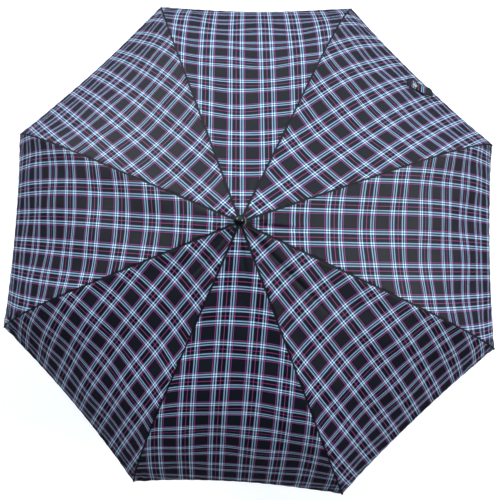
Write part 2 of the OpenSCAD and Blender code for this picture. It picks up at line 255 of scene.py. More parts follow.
def relief(s, p, panel):
    """Height of the cloth above the smooth dome, along its normal."""
    w = panel_waves(panel)
    r, _ = rib_point(s, CLOTH_LIFT)
    across = p * math.sin(HALF) * r
    to_seam = (1 - np.abs(p)) * math.sin(HALF) * r
    to_hem = hem_end(p, panel) - s
    side = np.where(p < 0, -1.0, 1.0)
    total = seam_relief(s, side, to_seam, w[4:6])
    total = total + hem_relief(across, to_seam, to_hem, w[6:8])
    total = total + crown_relief(s, p, w[8:10])
    total = total + slow_relief(s, across, to_seam, to_hem, w[10:12])
    total = total + creases(s, across, panel)
    for way, first in ((-1, 12), (1, 16)):
        seam_way = (1 - way * p) * math.sin(HALF) * r
        pull = TIP_PULL.get(rib_beside(panel, way), 1.0)
        total = total + corner_folds(RIB_LEN - s, seam_way, pull, w[first:first + 4])
        total = total + billows(s, seam_way, BILLOW.get((panel, way), 0.0), w[first])
    return total


def cloth_points(s, p, panel):
    """The finished outer surface and its unit normals, in the frame of a panel facing +X."""
    step_s, step_p = 1e-4, 1e-3

    def normals_of(surface, a, b):
        ds = surface(a + step_s, b) - surface(a - step_s, b)
        dp = surface(a, b + step_p) - surface(a, b - step_p)
        n = np.cross(ds, dp)
        return n / np.linalg.norm(n, axis=-1, keepdims=True)

    def surface(a, b):
        return dome(a, b) + relief(a, b, panel)[..., None] * normals_of(dome, a, b)

    return surface(s, p), normals_of(surface, s, p)


def turn_z(points, angle):
    c, s = math.cos(angle), math.sin(angle)
    out = points.copy()
    out[..., 0] = c * points[..., 0] - s * points[..., 1]
    out[..., 1] = s * points[..., 0] + c * points[..., 1]
    return out


# ---- materials ----------------------------------------------------------------------------

# The plaid: its repeat in metres, and in shares of a repeat the places of its lines to
# each side of the middle, half their width, where the block of charcoal begins, and how
# softly a line ends
REPEAT = 0.0537
BLUE_LINES, BLUE_HALF_W = (0.140, 0.218), 0.0190
MAGENTA_LINES, MAGENTA_HALF_W = (0.0, 0.279), 0.0100
BLOCK_EDGE = (0.285, 0.300)
LINE_SOFT = 0.004
# How far the plaid goes to the pale yarn where blue crosses blue
CROSSING_PALE = 0.85
WEAVE_PITCH = 0.00032
# How each panel was cut from the plaid, read from the photo: where its middle point
# falls in the repeat across and the turn of its lengthwise lines in degrees, the same down
# and of its cross lines, and how much the cloth has given along the panel
CUTS = {
    1: (0.15, 7.0, 0.90, -1.0, 0.01),
    2: (0.04, -3.0, 0.20, -1.0, 0.045),
    3: (0.87, -5.0, 0.25, -1.0, 0.04),
    4: (0.70, 3.5, 0.95, -1.0, 0.0),
    5: (0.48, -5.5, 0.28, -1.0, 0.0),
    6: (0.05, 3.0, 0.0, 0.0, 0.01),
    7: (0.23, 4.5, 0.60, 1.0, -0.02),
    8: (0.65, -2.5, 0.85, -1.0, -0.02),
}
CUT_MIDDLE = 0.325
# The repeat is longer than this along the panel, except over the shoulder, and wider
# toward the hem. Cross lines arch over at the crown and sag at the hem, per metre.
GIVE_ALONG, GIVE_ACROSS = -0.035, -0.15
SHOULDER, SHOULDER_GIVE = 0.075, 0.0083
ARCH, ARCH_TO_HEM = -0.35, 4.6


class Graph:
    """A material's node tree with short helpers."""

    def __init__(self, name):
        self.material = bpy.data.materials.new(name)
        self.material.use_nodes = True
        self.tree = self.material.node_tree
        self.shader = self.tree.nodes["Principled BSDF"]

    def node(self, kind, **settings):
        made = self.tree.nodes.new(kind)
        for key, value in settings.items():
            setattr(made, key, value)
        return made

    def put(self, value, socket):
        if isinstance(value, bpy.types.NodeSocket):
            self.tree.links.new(value, socket)
        else:
            socket.default_value = value

    def math(self, operation, *values):
        made = self.node("ShaderNodeMath", operation=operation)
        for i, value in enumerate(values):
            self.put(value, made.inputs[i])
        return made.outputs[0]

    def mix(self, factor, a, b):
        made = self.node("ShaderNodeMix", data_type="RGBA")
        self.put(factor, made.inputs[0])
        self.put(a, made.inputs[6])
        self.put(b, made.inputs[7])
        return made.outputs[2]

    def band(self, value, low, high):
        """0 below low, 1 above high, and smooth between."""
        made = self.node("ShaderNodeMapRange", interpolation_type="SMOOTHSTEP")
        self.put(value, made.inputs[0])
        self.put(low, made.inputs[1])
        self.put(high, made.inputs[2])
        return made.outputs[0]

    def split(self, vector):
        made = self.node("ShaderNodeSeparateXYZ")
        self.put(vector, made.inputs[0])
        return made.outputs

    def attribute(self, name):
        return self.node("ShaderNodeAttribute", attribute_name=name).outputs["Vector"]

    def noise(self, vector, scale, detail=3.0, roughness=0.5):
        made = self.node("ShaderNodeTexNoise")
        self.put(vector, made.inputs["Vector"])
        self.put(scale, made.inputs["Scale"])
        self.put(detail, made.inputs["Detail"])
        self.put(roughness, made.inputs["Roughness"])
        return made.outputs["Fac"]

    def object_point(self):
        return self.node("ShaderNodeTexCoord").outputs["Object"]

    def bump(self, height, distance, strength=1.0):
        made = self.node("ShaderNodeBump")
        self.put(strength, made.inputs["Strength"])
        self.put(distance, made.inputs["Distance"])
        self.put(height, made.inputs["Height"])
        self.put(made.outputs[0], self.shader.inputs["Normal"])

    def set(self, name, value):
        self.put(value, self.shader.inputs[name])


def rgb(red, green, blue):
    return (red, green, blue, 1.0)


WHITE = rgb(1.0, 1.0, 1.0)
CHARCOAL_YARN = rgb(0.0045, 0.0065, 0.0120)
# Black yarn of the plaid and of the stitches; the panels' painted shade at the seams and the hem also goes to this
# colour
BLACK_YARN_AND_SHADE = rgb(0.001, 0.0015, 0.003)
BLUE_YARN = rgb(0.42, 0.69, 1.0)
PALE_YARN = rgb(0.78, 0.92, 1.0)
MAGENTA_YARN = rgb(0.50, 0.08, 0.36)


def yarns(graph, distance):
    """Colour of the yarns of one direction, from the distance across them in metres, and
    where they are blue: a wide charcoal block, then on black two pairs of blue lines
    between three magenta ones."""
    part = graph.math("FRACT", graph.math("DIVIDE", distance, REPEAT))
    u = graph.math("ABSOLUTE", graph.math("SUBTRACT", part, 0.5))

    def lines(places, half_width):
        away = [graph.math("ABSOLUTE", graph.math("SUBTRACT", u, place)) for place in places]
        bands = [graph.band(a, half_width + LINE_SOFT, half_width - LINE_SOFT) for a in away]
        return graph.math("MAXIMUM", *bands)

    blue = lines(BLUE_LINES, BLUE_HALF_W)
    magenta = lines(MAGENTA_LINES, MAGENTA_HALF_W)
    ground = graph.mix(graph.band(u, *BLOCK_EDGE), BLACK_YARN_AND_SHADE, CHARCOAL_YARN)
    return graph.mix(blue, graph.mix(magenta, ground, MAGENTA_YARN), BLUE_YARN), blue


def plaid_colour(graph, x, y):
    """Both directions show equally in a plain weave. Where blue crosses blue, no dark yarn
    shows between them."""
    across, blue_across = yarns(graph, x)
    along, blue_along = yarns(graph, y)
    crossing = graph.math("MULTIPLY", blue_across, blue_along)
    crossing = graph.math("MULTIPLY", crossing, CROSSING_PALE)
    return graph.mix(crossing, graph.mix(0.5, across, along), PALE_YARN)


def thread_wave(graph, x, y, pitch):
    """A plain weave: raised spots of warp and weft in turn, from -1 to 1."""
    wave_x = graph.math("SINE", graph.math("MULTIPLY", x, math.pi / pitch))
    wave_y = graph.math("SINE", graph.math("MULTIPLY", y, math.pi / pitch))
    return graph.math("MULTIPLY", wave_x, wave_y)


def cloth_finish(graph, colour, x, y, height):
    """Gloss, thread bump and slow colour variation that both plaid cloths share."""
    vector = graph.node("ShaderNodeCombineXYZ")
    graph.put(x, vector.inputs[0])
    graph.put(y, vector.inputs[1])
    slow = graph.noise(vector.outputs[0], 24.0, 3.0)
    shade = graph.node("ShaderNodeHueSaturation")
    graph.put(graph.math("ADD", 0.86, graph.math("MULTIPLY", slow, 0.28)),
              shade.inputs["Value"])
    graph.put(colour, shade.inputs["Color"])
    graph.set("Base Color", shade.outputs[0])
    weave = thread_wave(graph, x, y, WEAVE_PITCH)
    graph.set("Roughness", graph.math("ADD", 0.42, graph.math("MULTIPLY", slow, 0.16)))
    graph.set("Specular IOR Level", 0.22)
    fine = graph.math("MULTIPLY", weave, 0.00004)
    graph.bump(graph.math("ADD", fine, height), 1.0, 0.8)


def stitches(graph, across, along, offset, width, pitch):
    """A run of short stitches at a distance from an edge."""
    away = graph.math("ABSOLUTE", graph.math("SUBTRACT", across, offset))
    row = graph.band(away, width, width * 0.4)
    step = graph.math("FRACT", graph.math("DIVIDE", along, pitch))
    dash = graph.band(graph.math("ABSOLUTE", graph.math("SUBTRACT", step, 0.5)), 0.42, 0.34)
    return graph.math("MULTIPLY", row, dash)


def panel_material():
    graph = Graph("plaid_cloth")
    cut = graph.split(graph.attribute("cut"))
    edge = graph.split(graph.attribute("edge"))
    x, y = cut[0], cut[1]
    to_seam, to_hem, along = edge[0], edge[1], edge[2]
    colour = plaid_colour(graph, x, y)
    hem_row = stitches(graph, to_hem, x, offset=0.0066, width=0.0005, pitch=0.0031)
    seam_row = stitches(graph, to_seam, along, offset=0.0017, width=0.0004, pitch=0.0028)
    thread = graph.math("MAXIMUM", hem_row, seam_row)
    colour = graph.mix(graph.math("MULTIPLY", thread, 0.6), colour, BLACK_YARN_AND_SHADE)
    # Painted shade: the cloth goes nearly black in a band along each seam, and darker at the hem's edge, where
    # shade falls
    seam_painted_shade = graph.band(to_seam, 0.0030, 0.0012)
    hem_painted_shade = graph.band(to_hem, 0.0016, 0.0003)
    shade = graph.math("MAXIMUM", graph.math("MULTIPLY", seam_painted_shade, 0.96),
                       graph.math("MULTIPLY", hem_painted_shade, 0.75))
    colour = graph.mix(shade, colour, BLACK_YARN_AND_SHADE)
    dent = graph.math("MULTIPLY", thread, 0.00025)
    cloth_finish(graph, colour, x, y, dent)
    return graph.material


def strap_material():
    """The strap's cloth is cut from the same plaid, with its lines across it."""
    graph = Graph("strap_cloth")
    cut = graph.split(graph.attribute("cut"))
    edge = graph.split(graph.attribute("edge"))
    x, y = cut[0], cut[1]
    colour = plaid_colour(graph, x, y)
    row = stitches(graph, edge[0], x, offset=0.0016, width=0.0004, pitch=0.0026)
    colour = graph.mix(graph.math("MULTIPLY", row, 0.6), colour, BLACK_YARN_AND_SHADE)
    cloth_finish(graph, colour, x, y, graph.math("MULTIPLY", row, -0.0002))
    return graph.material


def solid_material(name, colour, roughness, metallic=0.0, grain=900.0, depth=0.00002,
                   variation=0.1, coat=0.0, gloss=0.5):
    """Moulded or metal surfaces: a colour that varies slowly, rubbed and grained."""
    graph = Graph(name)
    point = graph.object_point()
    slow = graph.noise(point, 45.0, 3.0)
    fine = graph.noise(point, grain, 2.0, 0.6)
    dark = tuple(c * (1 - variation) for c in colour) + (1.0,)
    light = tuple(min(1.0, c * (1 + variation)) for c in colour) + (1.0,)
    graph.set("Base Color", graph.mix(slow, dark, light))
    low = max(0.02, roughness * 0.8)
    spread = graph.math("MULTIPLY", fine, roughness * 0.4)
    graph.set("Roughness", graph.math("ADD", low, spread))
    graph.set("Metallic", metallic)
    graph.set("Specular IOR Level", gloss)
    graph.set("Coat Weight", coat)
    graph.set("Coat Roughness", 0.08)
    graph.bump(fine, depth, 1.0)
    return graph.material


# ---- meshes -------------------------------------------------------------------------------

def add_object(name, verts, faces, material, smooth=True):
    """A mesh object from arrays of points and of quads, or from plain lists."""
    mesh = bpy.data.meshes.new(name)
    verts = np.asarray(verts, np.float32)
    if isinstance(faces, np.ndarray):
        mesh.vertices.add(len(verts))
        mesh.vertices.foreach_set("co", verts.ravel())
        mesh.loops.add(faces.size)
        mesh.loops.foreach_set("vertex_index", faces.ravel().astype(np.int32))
        mesh.polygons.add(len(faces))
        mesh.polygons.foreach_set("loop_start", np.arange(0, faces.size, 4, dtype=np.int32))
    else:
        mesh.from_pydata(verts.tolist(), [], faces)
    mesh.materials.append(material)
    mesh.polygons.foreach_set("use_smooth", [smooth] * len(mesh.polygons))
    mesh.update(calc_edges=True)
    made = bpy.data.objects.new(name, mesh)
    bpy.context.scene.collection.objects.link(made)
    return made


def add_vectors(piece, name, values):
    layer = piece.data.attributes.new(name, "FLOAT_VECTOR", "POINT")
    layer.data.foreach_set("vector", np.asarray(values, np.float32).ravel())


def shell_faces(rows, columns, flip=False):
    """Quads of a closed shell: an outer grid, an inner grid and the four edges between."""
    outer = np.arange((rows + 1) * (columns + 1)).reshape(rows + 1, columns + 1)
    inner = outer + outer.size

    def quads(a, b, c, d):
        return np.stack([a.ravel(), b.ravel(), c.ravel(), d.ravel()], axis=-1)

    faces = [
        quads(outer[:-1, :-1], outer[1:, :-1], outer[1:, 1:], outer[:-1, 1:]),
        quads(inner[:-1, :-1], inner[:-1, 1:], inner[1:, 1:], inner[1:, :-1]),
        quads(outer[:-1, 0], inner[:-1, 0], inner[1:, 0], outer[1:, 0]),
        quads(outer[1:, -1], inner[1:, -1], inner[:-1, -1], outer[:-1, -1]),
        quads(outer[0, 1:], inner[0, 1:], inner[0, :-1], outer[0, :-1]),
        quads(outer[-1, :-1], inner[-1, :-1], inner[-1, 1:], outer[-1, 1:]),
    ]
    faces = np.concatenate(faces)
    return faces[:, ::-1].copy() if flip else faces


def mark_rim_sharp(piece, rows, columns):
    """Sharp edges round the rim, so that the thin edge doesn't shade the faces."""
    grid = np.zeros((rows + 1, columns + 1), bool)
    grid[0, :] = grid[-1, :] = grid[:, 0] = grid[:, -1] = True
    rim = np.concatenate([grid.ravel(), grid.ravel()])
    ends = np.empty(2 * len(piece.data.edges), np.int32)
    piece.data.edges.foreach_get("vertices", ends)
    ends = ends.reshape(-1, 2)
    layer = piece.data.attributes.new("sharp_edge", "BOOLEAN", "EDGE")
    layer.data.foreach_set("value", rim[ends[:, 0]] & rim[ends[:, 1]])


def lathe(name, profile, material, segments, at=(0, 0, 0)):
    """A closed profile of (r, z) points turned about the Z axis."""
    verts, faces = [], []
    count = len(profile)
    for k in range(segments):
        angle = math.tau * k / segments
        for r, z in profile:
            point = Vector((r * math.cos(angle), r * math.sin(angle), z))
            verts.append(point + Vector(at))
    for k in range(segments):
        here, there = k * count, (k + 1) % segments * count
        for i in range(count):
            n = (i + 1) % count
            faces.append((here + i, there + i, there + n, here + n))
    return add_object(name, verts, faces, material)


# ---- canopy -------------------------------------------------------------------------------

COUPLINGS = {c["joint"]: c["ratio"] for c in frame["record"]["behaviour"]["couplings"]}
# How far each gather joint travels as the umbrella closes
GATHER_TRAVEL = FOLD * COUPLINGS["gather_1a"]
# A gather weight over 1 carries cloth past the rigid joint's own travel
MOST_GATHER = 1.2


def closed_place(points, rib):
    """Where points that follow a rib are when the umbrella is closed, in the frame of that
    rib: outward and across."""
    own = turn_z(points, -rib_turn(rib))
    out = own[..., 0] - PIVOT_R
    up = own[..., 2] - NOTCH_Z
    radial = PIVOT_R + out * math.cos(FOLD) + up * math.sin(FOLD)
    return radial, own[..., 1]


def gather_need(points, panel, rib):
    """How much of the gather joint's travel takes each point to the plane halfway between
    the ribs when the umbrella is closed."""
    radial, across = closed_place(points, rib)
    half = "a" if rib == panel else "b"
    axis = turn_z(np.array(JOINTS[f"gather_{panel}{half}"]["axis"]), -rib_turn(rib))
    lift = GATHER_TRAVEL * (axis[0] * math.cos(FOLD) + axis[2] * math.sin(FOLD))
    pull = GATHER_TRAVEL * abs(axis[1])
    need = (np.abs(across) - math.tan(HALF) * radial) / (pull + math.tan(HALF) * lift)
    return np.clip(need, 0, MOST_GATHER)


def gather_weights(s, share, panel, rib):
    """The middle line of the panel ends on the plane halfway between its ribs, so the cloth
    closes without a gap. share is 0 at the rib and 1 at the middle of the panel."""
    middle = turn_z(dome(s, np.zeros_like(s)), panel * SECTOR)
    return gather_need(middle, panel, rib) * share


def set_weights(piece, weights):
    """Share of the second body that each point of a blended piece follows."""
    layer = piece.data.attributes["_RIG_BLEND"]
    layer.data.foreach_set("value", np.asarray(weights, np.float32))


def half_width_steps():
    """Shares from the rib to the middle of the panel, closer together at the rib."""
    crowding = 2.2
    return np.sinh(crowding * np.linspace(0, 1, COLUMNS + 1)) / math.sinh(crowding)


def flat_pattern(s, share, side):
    """The half panel laid flat: distance across from its middle line and down it, with the
    area, width and length of the cut."""
    points = dome(s, side * (1 - share))
    steps = np.linalg.norm(np.diff(points, axis=1), axis=-1)
    from_rib = np.concatenate([np.zeros((len(s), 1)), np.cumsum(steps, axis=1)], axis=1)
    width = from_rib[:, -1:]
    x = width - from_rib
    middle = np.linalg.norm(np.diff(points[:, -1], axis=0), axis=-1)
    down_middle = np.concatenate([[0], np.cumsum(middle)])
    edge_step = np.linalg.norm(np.diff(points[:, 0], axis=0), axis=-1)
    edge_drop = np.sqrt(np.maximum(edge_step ** 2 - np.diff(width[:, 0]) ** 2, 0))
    down_edge = np.concatenate([[0], np.cumsum(edge_drop)])
    bow = (x / np.maximum(width, 1e-9)) ** 2
    y = down_middle[:, None] + (down_edge - down_middle)[:, None] * bow
    area = float(np.sum((width[1:, 0] + width[:-1, 0]) / 2 * middle))
    return x, y, area, float(width.max()), float(down_middle[-1])


def on_the_plaid(x, y, panel):
    """Place of a point of the cut on the plaid cloth, in metres."""
    across, turn_across, down, turn_down, given = CUTS[panel]
    a, b = math.radians(turn_across), math.radians(turn_down)
    y = y - CUT_MIDDLE
    arch = (ARCH + ARCH_TO_HEM * y) * x * x
    x = x * (1 + GIVE_ACROSS * y)
    y = y * (1 + GIVE_ALONG + given) + SHOULDER_GIVE * np.tanh(y / SHOULDER) + arch
    plaid_x = x * math.cos(a) + y * math.sin(a) + across * REPEAT
    plaid_y = y * math.cos(b) - x * math.sin(b) + down * REPEAT
    return plaid_x, plaid_y


def half_panel(panel, half, material):
    """Half of a panel: one thin closed sheet from a rib seam to the middle of the panel."""
    side = -1 if half == "a" else 1
    rib = rib_beside(panel, side)
    shape = (ROWS + 1, COLUMNS + 1)
    share = np.broadcast_to(half_width_steps(), shape)
    p = side * (1 - share)
    row = np.linspace(0, 1, ROWS + 1)[:, None]
    s = CLOTH_FROM + (hem_end(p, panel) - CLOTH_FROM) * row
    points, normals = cloth_points(s, p, panel)
    outer = turn_z(points, panel * SECTOR).reshape(-1, 3)
    normals = turn_z(normals, panel * SECTOR).reshape(-1, 3)
    r, _ = rib_point(s, CLOTH_LIFT)
    to_seam = share * math.sin(HALF) * r
    to_hem = hem_end(p, panel) - s
    doubled = np.maximum(soft_step(SEAM_W - to_seam, 0, 0.0010),
                         soft_step(HEM_W - to_hem, 0, 0.0010))
    thick = (CLOTH_T + DOUBLED_T * doubled).reshape(-1, 1)
    inner = outer - thick * normals
    name = f"cloth_{panel}{half}"
    piece = add_object(name, np.concatenate([outer, inner]),
                       shell_faces(ROWS, COLUMNS, side > 0), material)
    x, y, area, width, length = flat_pattern(s, share, side)
    plaid_x, plaid_y = on_the_plaid(side * x, y, panel)
    cut = np.stack([plaid_x, plaid_y, 0 * plaid_x], axis=-1).reshape(-1, 3)
    edge = np.stack([to_seam, to_hem, s], axis=-1).reshape(-1, 3)
    add_vectors(piece, "cut", np.concatenate([cut, cut]))
    add_vectors(piece, "edge", np.concatenate([edge, edge]))
    mark_rim_sharp(piece, ROWS, COLUMNS)
    piece.data.normals_split_custom_set_from_vertices(
        np.concatenate([normals, -normals]).tolist())
    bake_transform(piece, f"rib_{rib}", name, start=tuple(outer[0]), end=tuple(outer[-1]))
    weights = gather_weights(s.ravel(), share.ravel(), panel, rib)
    set_weights(piece, np.concatenate([weights, weights]))
    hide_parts(f"panel_{panel}{half}")


def build_canopy():
    material = panel_material()
    for panel in range(1, RIBS + 1):
        for half in "ab":
            half_panel(panel, half, material)


# ---- crown ----------------------------------------------------------------------------------

# Gap between the cap's bore and the shaft, height of the cap's round top, the cap's chamfer,
# and how far the washer sits off the axis, which its wider bore leaves room for
CAP_GAP, CAP_DOME, CAP_CHAMFER = 0.00004, 0.0068, 0.0005
WASHER_BEVEL, WASHER_GAP, WASHER_OFF = 0.0002, 0.0012, (0.0011, 0.0006, 0)


def build_crown(gloss, pale, felt):
    """The ferrule cap, the washer under it and the cloth rosette round the notch."""
    low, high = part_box("ferrule")
    r, height = (high.x - low.x) / 2, high.z - low.z
    shaft_low, shaft_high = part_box("shaft")
    bore = (shaft_high.x - shaft_low.x) / 2 + CAP_GAP
    arc = np.linspace(0, math.pi / 2, 14)
    top = [(r * math.cos(a), high.z - CAP_DOME * (1 - math.sin(a))) for a in arc[:-1]]
    pole, roof = 0.0002, shaft_high.z + 0.0003
    profile = [(bore, low.z), (r - CAP_CHAMFER, low.z), (r, low.z + CAP_CHAMFER),
               (r, high.z - CAP_DOME), *top[1:], (pole, high.z), (pole, roof), (bore, roof)]
    cap = lathe("ferrule_cap", profile, gloss, 72)
    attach(cap, "frame")
    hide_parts("ferrule")
    low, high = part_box("cap_washer")
    rim, hole = r - WASHER_BEVEL, bore + WASHER_GAP
    profile = [(hole, low.z), (rim, low.z), (rim + WASHER_BEVEL, low.z + WASHER_BEVEL),
               (rim + WASHER_BEVEL, high.z - WASHER_BEVEL), (rim, high.z), (hole, high.z)]
    washer = lathe("washer_ring", profile, pale, 72, at=WASHER_OFF)
    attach(washer, "frame")
    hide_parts("cap_washer")
    build_rosette(bore, felt)


def build_rosette(bore, felt):
    """A round of cloth with a wavy edge, between the notch and the canopy."""
    low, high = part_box("rosette")
    rim = (high.x - low.x) / 2
    rings, segments, thick = 8, 96, 0.00025
    inner = bore + 0.0003
    turn = np.linspace(0, math.tau, segments, endpoint=False)
    verts, faces = [], []
    for lift in (thick, 0):
        for i in range(rings + 1):
            share = i / rings
            r = inner + (rim - inner) * share
            ruffle = 0.00035 * share ** 2 * (1 + np.sin(11 * turn + 0.8 * np.sin(3 * turn)))
            z = low.z + lift + ruffle
            verts.append(np.stack([r * np.cos(turn), r * np.sin(turn), z], axis=-1))
    count = rings + 1
    for k in range(segments):
        n = (k + 1) % segments
        for i in range(rings):
            a, b = i * segments, (i + 1) * segments
            c, d = (count + i) * segments, (count + i + 1) * segments
            faces.append((a + k, b + k, b + n, a + n))
            faces.append((c + k, c + n, d + n, d + k))
        top, bottom = rings * segments, (count + rings) * segments
        faces.append((top + k, bottom + k, bottom + n, top + n))
        faces.append((k, n, count * segments + n, count * segments + k))
    piece = add_object("rosette_cloth", np.concatenate(verts), faces, felt)
    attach(piece, "frame")
    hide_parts("rosette")


# ---- tie strap ------------------------------------------------------------------------------
# The same place as the CAD strap: X runs from its sewn end, Z away from the cloth

STRAP_FROM, STRAP_TO, STRAP_W, STRAP_T = -0.005, 0.055, 0.019, 0.0014
STRAP_S, STRAP_SIDE, STRAP_UP = 0.497, -0.003, 0.004
STRAP_TURNS = ((math.radians(-62), "Z"), (math.radians(14), "Y"), (math.radians(-20), "X"))
# The strap curls away past its stud: from where, how much lengthwise and across
CURL_FROM, CURL_ALONG, CURL_ACROSS = 0.020, -0.9, 0.007
# Where along the strap the middle of the plaid's lines falls
STRAP_LINE = 0.020
STUD_X = 0.0125
# How far the strap flattens as it draws in: 0 keeps its curve, 1 is flat in the valley
STRAP_FLATTENS = 0.85


def strap_place():
    base = dome(np.array(STRAP_S), np.array(0.0))
    place = Matrix.Rotation(SECTOR, 4, "Z")
    place = place @ Matrix.Translation((base[0], STRAP_SIDE, base[2] + STRAP_UP))
    for angle, axis in STRAP_TURNS:
        place = place @ Matrix.Rotation(angle, 4, axis)
    return place


def moved(piece, place):
    piece.data.transform(place)
    piece.data.update()
    return piece


def draw_in(piece):
    """The limp strap and its stud draw in with the cloth under them as the umbrella closes,
    and nearly flatten into the valley between the ribs."""
    place = strap_place()
    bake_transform(piece, "rib_2", "cloth_1b", start=tuple(place @ Vector((0, 0, 0))),
             end=tuple(place @ Vector((STRAP_TO, 0, 0))))
    points = np.empty(3 * len(piece.data.vertices), np.float32)
    piece.data.vertices.foreach_get("co", points)
    sewn_end = np.array([list(place @ Vector((0, 0, 0)))])
    base = gather_need(sewn_end, 1, 2)[0]
    need = gather_need(points.reshape(-1, 3).astype(float), 1, 2)
    set_weights(piece, base + STRAP_FLATTENS * (need - base))


def build_strap(cloth):
    """Two layers of cloth sewn round the edge, with a round end and a slight curl."""
    rows, columns = 90, 30
    round_r = STRAP_W / 2
    x = STRAP_FROM + (STRAP_TO - STRAP_FROM) * np.sin(np.linspace(0, math.pi / 2, rows + 1))
    x = np.minimum(x, STRAP_TO - 0.00001)[:, None]
    past = np.maximum(x - (STRAP_TO - round_r), 0)
    half_w = np.sqrt(np.maximum(round_r ** 2 - past ** 2, 1e-8))
    y = half_w * np.linspace(-1, 1, columns + 1)[None, :]
    x = x + 0 * y
    to_edge = np.minimum(half_w - np.abs(y), STRAP_TO - x)
    to_edge = np.minimum(to_edge, round_r - np.hypot(past, y))
    to_edge = np.maximum(to_edge, 0)
    curl = CURL_ALONG * np.maximum(x - CURL_FROM, 0) ** 2
    curl = curl + 0.0004 * np.sin(x * 210) * soft_step(x, CURL_FROM, 0.04)
    curl = curl + CURL_ACROSS * soft_step(x, CURL_FROM, 0.05) * (y / STRAP_W) ** 2
    edge_t, fuller, sewn_in, sewn_at = 0.00042, 0.00026, 0.00012, 0.0022
    body = edge_t + fuller * soft_step(to_edge, 0.0, 0.0012)
    body = body - sewn_in * np.exp(-(((to_edge - sewn_at) / 0.0006) ** 2))
    middle = STRAP_T / 2 + curl
    faces = shell_faces(rows, columns)
    upper = np.stack([x, y, middle + body], axis=-1).reshape(-1, 3)
    lower = np.stack([x, y, middle - body], axis=-1).reshape(-1, 3)
    piece = add_object("strap_cloth", np.concatenate([upper, lower]), faces, cloth)
    cut = np.stack([x - STRAP_LINE + REPEAT / 2, y, 0 * x], axis=-1).reshape(-1, 3)
    edge = np.stack([to_edge, 0 * x, 0 * x], axis=-1).reshape(-1, 3)
    add_vectors(piece, "cut", np.concatenate([cut, cut]))
    add_vectors(piece, "edge", np.concatenate([edge, edge]))
    mark_rim_sharp(piece, rows, columns)
    moved(piece, strap_place())
    draw_in(piece)
    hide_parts("tie_strap")


def build_stud(metal):
    """The domed cap of the press stud and its socket on the back of the strap. The socket is
    the CAD's own mesh, made a piece so that it moves with the strap."""
    z = STRAP_T + 0.00002
    pole, dome_r, rim_r, rim_up, rise = 0.0003, 0.0044, 0.0049, 0.0003, 0.0009
    arc = np.linspace(0, math.pi / 2, 8)
    top = [(pole + dome_r * math.cos(a), z + rim_up + rise * math.sin(a)) for a in arc]
    profile = [(pole, z), (dome_r, z), (rim_r, z + 0.0001), *top]
    cap = lathe("stud_dome", profile, metal, 48, at=(STUD_X, 0, 0))
    moved(cap, strap_place())
    draw_in(cap)
    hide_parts("stud_cap")
    node = NODES["stud_socket"]
    mesh = node.data.copy()
    mesh.transform(node.matrix_world)
    mesh.materials.clear()
    mesh.materials.append(metal)
    socket = bpy.data.objects.new("stud_back", mesh)
    bpy.context.scene.collection.objects.link(socket)
    draw_in(socket)
    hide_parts("stud_socket")


# ---- ties -------------------------------------------------------------------------------------

def build_ties(felt):
    """Thread loops that hold the canopy's seams to the ribs."""
    for number in range(1, RIBS + 1):
        verts, faces = [], []
        for s in (0.19, 0.37):
            for strand in (-0.0007, 0.0, 0.0007):
                add_loop(verts, faces, s + strand)
        tie = add_object(f"seam_tie_{number}", verts, faces, felt)
        moved(tie, Matrix.Rotation(rib_turn(number), 4, "Z"))
        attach(tie, f"rib_{number}")


def add_loop(verts, faces, s):
    """One oval loop of thread round the rib at arc length s, in the plane across it."""
    wide, tall, thread, around, sides = 0.0021, 0.0030, 0.00032, 28, 8
    slope = float(rib_slope(np.array(s)))
    r, z = (float(v) for v in rib_point(np.array(s), 0.0018))
    up = Vector((math.sin(slope), 0, math.cos(slope)))
    out = Vector((math.cos(slope), 0, -math.sin(slope)))
    first = len(verts)
    for k in range(around):
        a = math.tau * k / around
        centre = Vector((r, 0, z)) + up * (tall * math.sin(a)) + Vector((0, wide * math.cos(a), 0))
        spoke = (up * math.sin(a) + Vector((0, math.cos(a), 0))).normalized()
        for m in range(sides):
            b = math.tau * m / sides
            verts.append(centre + spoke * (thread * math.cos(b)) + out * (thread * math.sin(b)))
    for k in range(around):
        for m in range(sides):
            a, b = first + k * sides + m, first + k * sides + (m + 1) % sides
            n = first + ((k + 1) % around) * sides
            faces.append((a, b, n + (m + 1) % sides, n + m))


# ---- CAD nodes and their materials ----------------------------------------------------------

def paint(material, names):
    for name in names:
        mesh = NODES[name].data
        mesh.materials.clear()
        mesh.materials.append(material)


def numbered(stem):
    return [f"{stem}_{i}" for i in range(1, RIBS + 1)]


# Colour, roughness, metal, cells of grain per metre and depth of the grain in metres
FINISHES = {
    "plated_steel": ((0.78, 0.79, 0.80), 0.12, 1.0, 1400, 0.000004),
    "wire_steel": ((0.46, 0.46, 0.48), 0.3, 1.0, 1600, 0.000006),
    "catch_steel": ((0.60, 0.60, 0.61), 0.26, 1.0, 1200, 0.000006),
    "rib_steel": ((0.055, 0.055, 0.06), 0.34, 0.55, 700, 0.00001),
    "black_plastic": ((0.020, 0.020, 0.023), 0.42, 0.0, 1500, 0.00002),
    "ferrule_plastic": ((0.004, 0.004, 0.005), 0.2, 0.0, 500, 0.000004),
    "handle_plastic": ((0.012, 0.012, 0.014), 0.26, 0.0, 1300, 0.00001),
    "washer_plastic": ((0.20, 0.20, 0.21), 0.5, 0.0, 900, 0.00001),
    "tip_plastic": ((0.010, 0.010, 0.012), 0.25, 0.0, 900, 0.00001),
    "plain_cloth": ((0.016, 0.016, 0.02), 0.8, 0.0, 1800, 0.00008),
    "stud_metal": ((0.42, 0.42, 0.38), 0.3, 1.0, 1000, 0.000004),
}
POLISH = {"ferrule_plastic": {"gloss": 0.4}, "handle_plastic": {"coat": 0.3}}
PAINTED = {
    "plated_steel": ["shaft", "handle_collar"],
    "wire_steel": ["notch_wire", "runner_wire", "stop_pin", "catch_pins"],
    "catch_steel": ["top_catch", "bottom_catch"],
    "rib_steel": numbered("rib") + numbered("stretcher"),
    "black_plastic": ["notch", "runner"],
    "handle_plastic": ["handle"],
    "tip_plastic": numbered("tip"),
}


